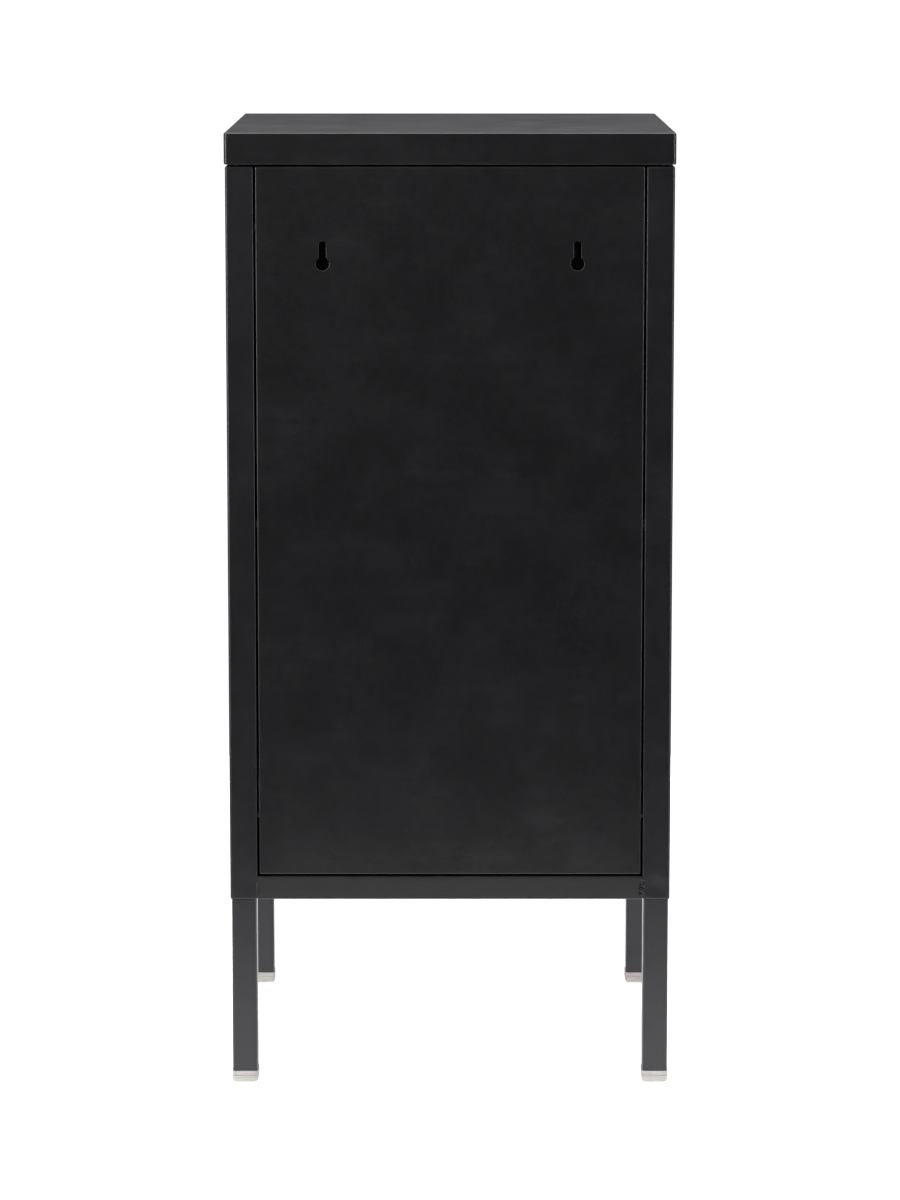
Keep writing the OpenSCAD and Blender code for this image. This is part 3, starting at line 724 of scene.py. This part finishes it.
def make_handle(n):
    """A round bow bar that stands on two collars."""
    node = f"drawer_{n}_handle"
    lo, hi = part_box(node)
    r = (hi.z - lo.z) / 2 - 1.5 * MM
    collar = 1.5 * MM
    half = (hi.x - lo.x) / 2 - r - collar
    rear, z = hi.y, (hi.z + lo.z) / 2
    reach = hi.y - lo.y - r
    line = handle_line(half, reach, HANDLE_BEND)
    soft, straight, around = 0.3 * MM, 4 * MM, 32
    foot = [(r + collar, 0, 0), (r + collar, collar, soft), (r, collar, soft), (r, straight, 0)]
    foot = rounded_path(foot, steps=4)
    stations = [(Vector((-half, p.y)), p.x) for p in foot]
    stations += [(p, r) for p in line]
    stations += [(Vector((half, p.y)), p.x) for p in reversed(foot)]
    loops = []
    for i, (p, radius) in enumerate(stations):
        if i < len(foot):
            along = Vector((0, 1))
        elif i >= len(foot) + len(line):
            along = Vector((0, -1))
        else:
            before, after = stations[i - 1][0], stations[i + 1][0]
            along = (after - before).normalized()
        side = Vector((-along.y, along.x))
        loop = []
        for k in range(around):
            a = 2 * pi * k / around
            q = p + side * radius * cos(a)
            loop.append(Vector((q.x, rear - q.y, z + radius * sin(a))))
        loops.append(loop)
    bm = bmesh.new()
    skin(bm, loops, cap_start=True, cap_end=True)
    return finish_mesh(f"handle_bar_{n}", bm, f"drawer_{n}", bar_coat, [node])


# ---------- studio ----------

def make_floor():
    """A matt white disc just under the glides, which glows a little so that it meets the white behind."""
    bm = bmesh.new()
    bmesh.ops.create_circle(bm, cap_ends=True, segments=96, radius=FLOOR_RADIUS,
                            matrix=Matrix.Translation(FLOOR_MIDDLE))
    mesh = bpy.data.meshes.new("studio_floor")
    bm.to_mesh(mesh)
    bm.free()
    floor = bpy.data.objects.new("studio_floor", mesh)
    bpy.context.scene.collection.objects.link(floor)
    s = Surface("studio_floor", Metallic=0.0, Roughness=0.9)
    clouds = s.fit(s.noise(0.5, detail=2.0), 0.3, 0.7, 0.0, 1.0)
    tone = s.mix(clouds, (0.93, 0.93, 0.93), (0.95, 0.95, 0.95))
    s.link(tone, s.shader.inputs["Base Color"])
    s.link(tone, s.shader.inputs["Emission Color"])
    s.shader.inputs["Emission Strength"].default_value = 0.66
    s.shader.inputs["Specular IOR Level"].default_value = 0.0
    mesh.materials.append(s.material)
    return floor


def make_world():
    """White where the camera looks; as light, bright overhead and dark towards the horizon."""
    world = bpy.data.worlds.new("studio")
    bpy.context.scene.world = world
    world.use_nodes = True
    nodes, links = world.node_tree.nodes, world.node_tree.links
    nodes.clear()
    place = nodes.new("ShaderNodeTexCoord")
    split = nodes.new("ShaderNodeSeparateXYZ")
    ramp = nodes.new("ShaderNodeValToRGB")
    links.new(place.outputs["Generated"], split.inputs["Vector"])
    links.new(split.outputs["Z"], ramp.inputs["Fac"])
    stops = ((0.0, 0.06), (0.10, 0.17), (0.4, 0.07), (0.9, 0.30))
    while len(ramp.color_ramp.elements) < len(stops):
        ramp.color_ramp.elements.new(0.5)
    for element, (position, value) in zip(ramp.color_ramp.elements, stops):
        element.position = position
        element.color = (value * 1.01, value * 0.99, value * 1.05, 1)
    light = nodes.new("ShaderNodeBackground")
    light.inputs["Strength"].default_value = 0.9
    white = nodes.new("ShaderNodeBackground")
    white.inputs["Color"].default_value = (1, 1, 1, 1)
    white.inputs["Strength"].default_value = 1.1
    path = nodes.new("ShaderNodeLightPath")
    blend = nodes.new("ShaderNodeMixShader")
    out = nodes.new("ShaderNodeOutputWorld")
    links.new(ramp.outputs["Color"], light.inputs["Color"])
    links.new(path.outputs["Is Camera Ray"], blend.inputs["Fac"])
    links.new(light.outputs["Background"], blend.inputs[1])
    links.new(white.outputs["Background"], blend.inputs[2])
    links.new(blend.outputs["Shader"], out.inputs["Surface"])


def area_light(name, position, target, width, height, watts):
    """A white rectangular light at position, aimed at target."""
    data = bpy.data.lights.new(name, "AREA")
    data.shape = "RECTANGLE"
    data.size, data.size_y = width, height
    data.energy = watts
    lamp = bpy.data.objects.new(name, data)
    bpy.context.scene.collection.objects.link(lamp)
    lamp.location = position
    lamp.rotation_mode = "QUATERNION"
    lamp.rotation_quaternion = (Vector(target) - Vector(position)).to_track_quat("-Z", "Y")
    return lamp


def make_lights():
    """Soft studio boxes; left and right are the photo's, which looks along -Y. front_fill reaches the
    drawers, which only the other views show."""
    area_light("overhead", (0.0, -0.3, 2.6), (0, -0.1, 0), 2.2, 2.2, 66)
    area_light("high_right", (-1.5, 1.9, 2.3), (0, 0.2, 0.7), 0.5, 0.5, 18)
    area_light("high_left", (1.6, 1.9, 2.3), (0, 0.2, 0.8), 0.6, 0.6, 23)
    area_light("side_right", (-1.7, 0.8, 0.8), (0, 0.1, 0.5), 0.30, 1.6, 17)
    area_light("side_left", (1.7, 0.9, 0.9), (0, 0.1, 0.6), 0.35, 1.6, 26)
    area_light("far_left", (1.4, 4.2, 1.9), (0, 0.2, 0.8), 1.1, 0.8, 11)
    area_light("front_fill", (-2.1, -2.4, 2.0), (0, -0.2, 0.5), 1.2, 1.0, 34)


def make_camera():
    """The photo's view from behind, a little above the lid; the shift keeps the glides in the picture."""
    data = bpy.data.cameras.new("camera")
    camera = bpy.data.objects.new("camera", data)
    bpy.context.scene.collection.objects.link(camera)
    bpy.context.scene.camera = camera
    data.sensor_width = 36
    data.lens = 116.18
    data.shift_y = -0.13
    data.dof.use_dof = False
    camera.location = CAMERA_PLACE
    look = Vector((0, -1, -tan(radians(CAMERA_DIP_DEG))))
    camera.rotation_mode = "QUATERNION"
    camera.rotation_quaternion = look.to_track_quat("-Z", "Y")
    data.clip_start, data.clip_end = 0.05, 200


make_lid()
make_bottom()
make_back()
for corner in CORNERS:
    make_leg(corner)
    make_glide(corner)
make_welds()
for number in DRAWERS:
    make_front(number)
    make_box(number)
    make_handle(number)
dress_cad_nodes()
make_floor()
make_world()
make_lights()
make_camera()
bpy.context.scene.view_settings.view_transform = "Standard"

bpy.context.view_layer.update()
